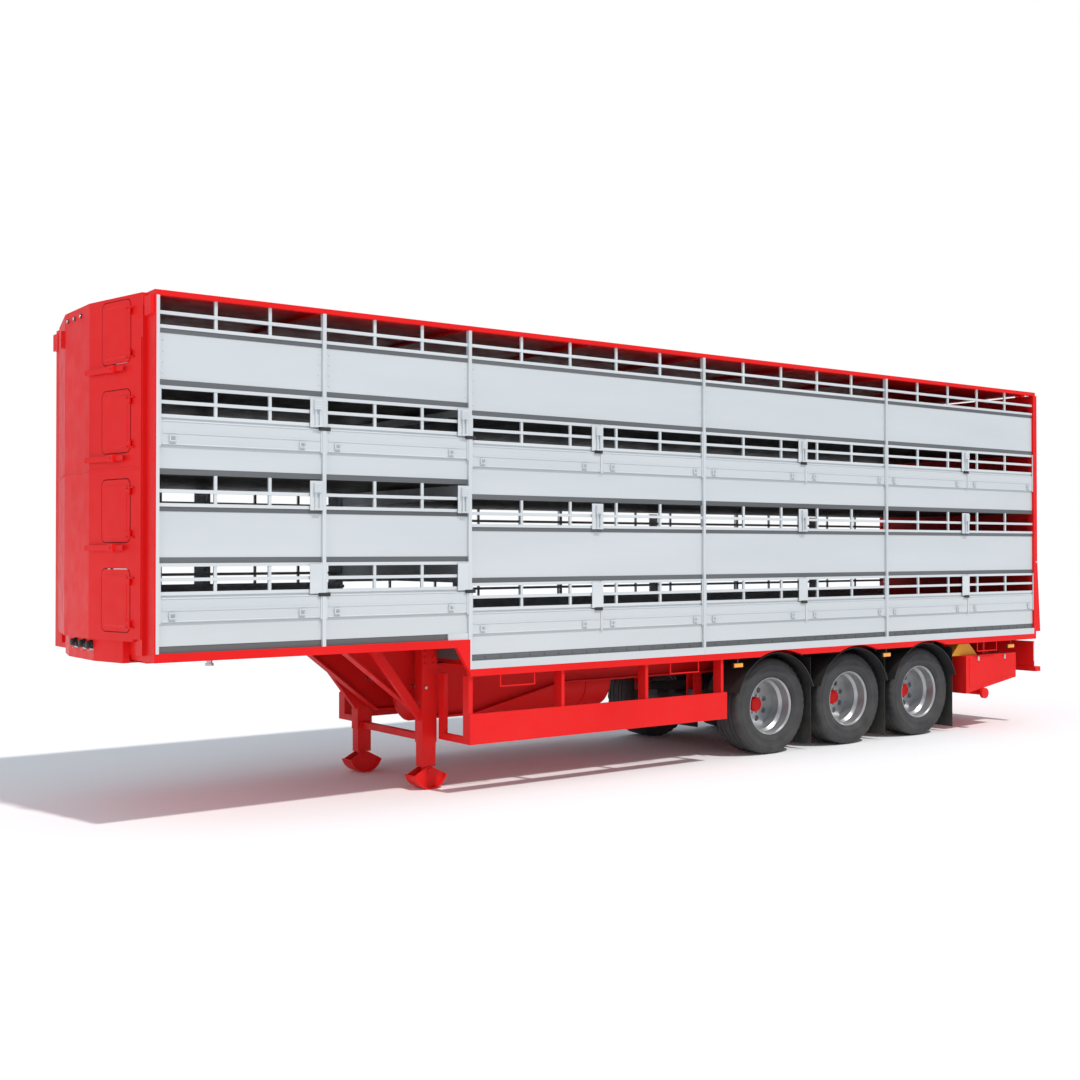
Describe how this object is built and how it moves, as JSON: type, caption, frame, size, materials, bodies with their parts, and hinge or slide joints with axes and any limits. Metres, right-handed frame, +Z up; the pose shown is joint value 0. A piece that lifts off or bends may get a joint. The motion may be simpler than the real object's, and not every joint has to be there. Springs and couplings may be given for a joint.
{
  "type": "livestock semi-trailer",
  "caption": "Multi-deck livestock semi-trailer: stepped body with railed vents and sliding flaps, folded nose with hatches, landing legs, close-coupled axles and a rear loading ramp.",
  "frame": {"origin": "centre of the overall footprint, on the ground plane that the tyres and the landing feet stand on", "axes": "+X towards the rear ramp along the length, +Y towards the trailer's right side, +Z up; the hatches and the kingpin are at -X"},
  "size_m": [11.1158, 2.55, 4.056],
  "materials": {
    "red_paint": "gloss paint",
    "steel": "machined",
    "yellow_plastic": "moulded",
    "black_plastic": "moulded",
    "black_rubber": "matt",
    "amber_plastic": "clear moulding",
    "red_plastic": "clear moulding",
    "dark_paint": "satin paint",
    "wheel_silver": "silver paint",
    "tyre": "matt",
    "deck_plate": "worn",
    "white_aluminium": "satin",
    "grey_aluminium": "satin"
  },
  "bodies": {
    "chassis_body": {"main_beams": "red_paint", "cross_members": "red_paint", "side_rails": "red_paint", "kingpin": "steel", "leg_housings": "red_paint", "side_guards": "red_paint", "water_tank": "red_paint", "tool_boxes": "red_paint", "wheel_chocks": "yellow_plastic", "mudguards": "black_plastic", "mud_flaps": "black_rubber", "marker_lamps": "amber_plastic", "rear_bumper": "red_paint", "rear_lamps": "red_plastic", "axle_beams": "dark_paint", "trailing_arms": "dark_paint", "air_springs": "black_rubber", "floor": "deck_plate", "upper_decks": "deck_plate", "side_posts": "white_aluminium", "side_channels": "grey_aluminium", "sill_rails": "white_aluminium", "wall_panels": "white_aluminium", "vent_rails": "white_aluminium", "drive_units": "white_aluminium", "roof": "red_paint", "front_wall": "red_paint", "coupling_box": "red_paint", "air_couplings": "black_plastic", "rear_frame": "red_paint"},
    "wheel_left_1_body": {"wheel_left_1": "wheel_silver", "tyre_left_1": "tyre"},
    "wheel_left_2_body": {"wheel_left_2": "wheel_silver", "tyre_left_2": "tyre"},
    "wheel_left_3_body": {"wheel_left_3": "wheel_silver", "tyre_left_3": "tyre"},
    "wheel_right_1_body": {"wheel_right_1": "wheel_silver", "tyre_right_1": "tyre"},
    "wheel_right_2_body": {"wheel_right_2": "wheel_silver", "tyre_right_2": "tyre"},
    "wheel_right_3_body": {"wheel_right_3": "wheel_silver", "tyre_right_3": "tyre"},
    "inner_leg_left_body": {"inner_leg_left": "red_paint"},
    "inner_leg_right_body": {"inner_leg_right": "red_paint"},
    "foot_left_body": {"foot_left": "red_paint"},
    "foot_right_body": {"foot_right": "red_paint"},
    "leg_shaft_body": {"leg_shaft": "steel"},
    "flap_left_upper_body": {"flap_left_upper": "white_aluminium"},
    "flap_left_lower_body": {"flap_left_lower": "white_aluminium"},
    "flap_right_upper_body": {"flap_right_upper": "white_aluminium"},
    "flap_right_lower_body": {"flap_right_lower": "white_aluminium"},
    "hatch_1_body": {"hatch_1": "red_paint"},
    "hatch_2_body": {"hatch_2": "red_paint"},
    "hatch_3_body": {"hatch_3": "red_paint"},
    "hatch_4_body": {"hatch_4": "red_paint"},
    "latch_1_body": {"latch_1": "red_paint"},
    "latch_2_body": {"latch_2": "red_paint"},
    "latch_3_body": {"latch_3": "red_paint"},
    "rear_ramp_body": {"rear_ramp": "red_paint"},
    "upper_tailgate_body": {"upper_tailgate": "red_paint"}
  },
  "joints": [
    {"name": "wheel_left_1_spin", "type": "hinge", "parent": "chassis_body", "child": "wheel_left_1_body", "pos_m": [1.10988, -0.9175, 0.498], "axis": [0, 1, 0], "continuous": true},
    {"name": "wheel_left_2_spin", "type": "hinge", "parent": "chassis_body", "child": "wheel_left_2_body", "pos_m": [2.28188, -0.9175, 0.498], "axis": [0, 1, 0], "continuous": true},
    {"name": "wheel_left_3_spin", "type": "hinge", "parent": "chassis_body", "child": "wheel_left_3_body", "pos_m": [3.45388, -0.9175, 0.498], "axis": [0, 1, 0], "continuous": true},
    {"name": "wheel_right_1_spin", "type": "hinge", "parent": "chassis_body", "child": "wheel_right_1_body", "pos_m": [1.10988, 0.9175, 0.498], "axis": [0, 1, 0], "continuous": true},
    {"name": "wheel_right_2_spin", "type": "hinge", "parent": "chassis_body", "child": "wheel_right_2_body", "pos_m": [2.28188, 0.9175, 0.498], "axis": [0, 1, 0], "continuous": true},
    {"name": "wheel_right_3_spin", "type": "hinge", "parent": "chassis_body", "child": "wheel_right_3_body", "pos_m": [3.45388, 0.9175, 0.498], "axis": [0, 1, 0], "continuous": true},
    {"name": "leg_shaft_turn", "type": "hinge", "parent": "chassis_body", "child": "leg_shaft_body", "pos_m": [-2.73312, 0, 0.9], "axis": [0, 1, 0], "range_deg": [0, 3600]},
    {"name": "leg_left_lift", "type": "slide", "parent": "chassis_body", "child": "inner_leg_left_body", "axis": [0, 0, 1], "range_m": [0, 0.2]},
    {"name": "foot_left_rock", "type": "hinge", "parent": "inner_leg_left_body", "child": "foot_left_body", "pos_m": [-2.69512, -0.616, 0.165], "axis": [0, 1, 0], "range_deg": [-10, 10]},
    {"name": "leg_right_lift", "type": "slide", "parent": "chassis_body", "child": "inner_leg_right_body", "axis": [0, 0, 1], "range_m": [0, 0.2]},
    {"name": "foot_right_rock", "type": "hinge", "parent": "inner_leg_right_body", "child": "foot_right_body", "pos_m": [-2.69512, 0.616, 0.165], "axis": [0, 1, 0], "range_deg": [-10, 10]},
    {"name": "flap_left_upper_lift", "type": "slide", "parent": "chassis_body", "child": "flap_left_upper_body", "axis": [0, 0, 1], "range_m": [0, 0.22]},
    {"name": "flap_left_lower_lift", "type": "slide", "parent": "chassis_body", "child": "flap_left_lower_body", "axis": [0, 0, 1], "range_m": [0, 0.22]},
    {"name": "flap_right_upper_lift", "type": "slide", "parent": "chassis_body", "child": "flap_right_upper_body", "axis": [0, 0, 1], "range_m": [0, 0.22]},
    {"name": "flap_right_lower_lift", "type": "slide", "parent": "chassis_body", "child": "flap_right_lower_body", "axis": [0, 0, 1], "range_m": [0, 0.22]},
    {"name": "hatch_1_swing", "type": "hinge", "parent": "chassis_body", "child": "hatch_1_body", "pos_m": [-5.40644, -0.92123, 1.502], "axis": [0, 0, 1], "range_deg": [0, 110]},
    {"name": "hatch_2_swing", "type": "hinge", "parent": "chassis_body", "child": "hatch_2_body", "pos_m": [-5.40644, -0.92123, 2.18423], "axis": [0, 0, 1], "range_deg": [0, 110]},
    {"name": "hatch_3_swing", "type": "hinge", "parent": "chassis_body", "child": "hatch_3_body", "pos_m": [-5.40644, -0.92123, 2.86645], "axis": [0, 0, 1], "range_deg": [0, 110]},
    {"name": "hatch_4_swing", "type": "hinge", "parent": "chassis_body", "child": "hatch_4_body", "pos_m": [-5.40644, -0.92123, 3.54868], "axis": [0, 0, 1], "range_deg": [0, 110]},
    {"name": "latch_1_turn", "type": "hinge", "parent": "chassis_body", "child": "latch_1_body", "pos_m": [-5.469, -0.70763, 2.13923], "axis": [-0.9774, -0.2113, 0], "range_deg": [0, 90]},
    {"name": "latch_2_turn", "type": "hinge", "parent": "chassis_body", "child": "latch_2_body", "pos_m": [-5.469, -0.70763, 2.82145], "axis": [-0.9774, -0.2113, 0], "range_deg": [0, 90]},
    {"name": "latch_3_turn", "type": "hinge", "parent": "chassis_body", "child": "latch_3_body", "pos_m": [-5.469, -0.70763, 3.50368], "axis": [-0.9774, -0.2113, 0], "range_deg": [0, 90]},
    {"name": "ramp_swing", "type": "hinge", "parent": "chassis_body", "child": "rear_ramp_body", "pos_m": [5.51988, 0, 1.098], "axis": [0, 1, 0], "range_deg": [0, 120]},
    {"name": "tailgate_swing", "type": "hinge", "parent": "chassis_body", "child": "upper_tailgate_body", "pos_m": [5.51788, 0, 4.038], "axis": [0, -1, 0], "range_deg": [0, 100]}
  ],
  "couplings": [
    {"joint": "leg_shaft_turn", "follows": "leg_left_lift", "rad_per_m": 314.16},
    {"joint": "leg_right_lift", "follows": "leg_left_lift", "ratio": 1}
  ]
}
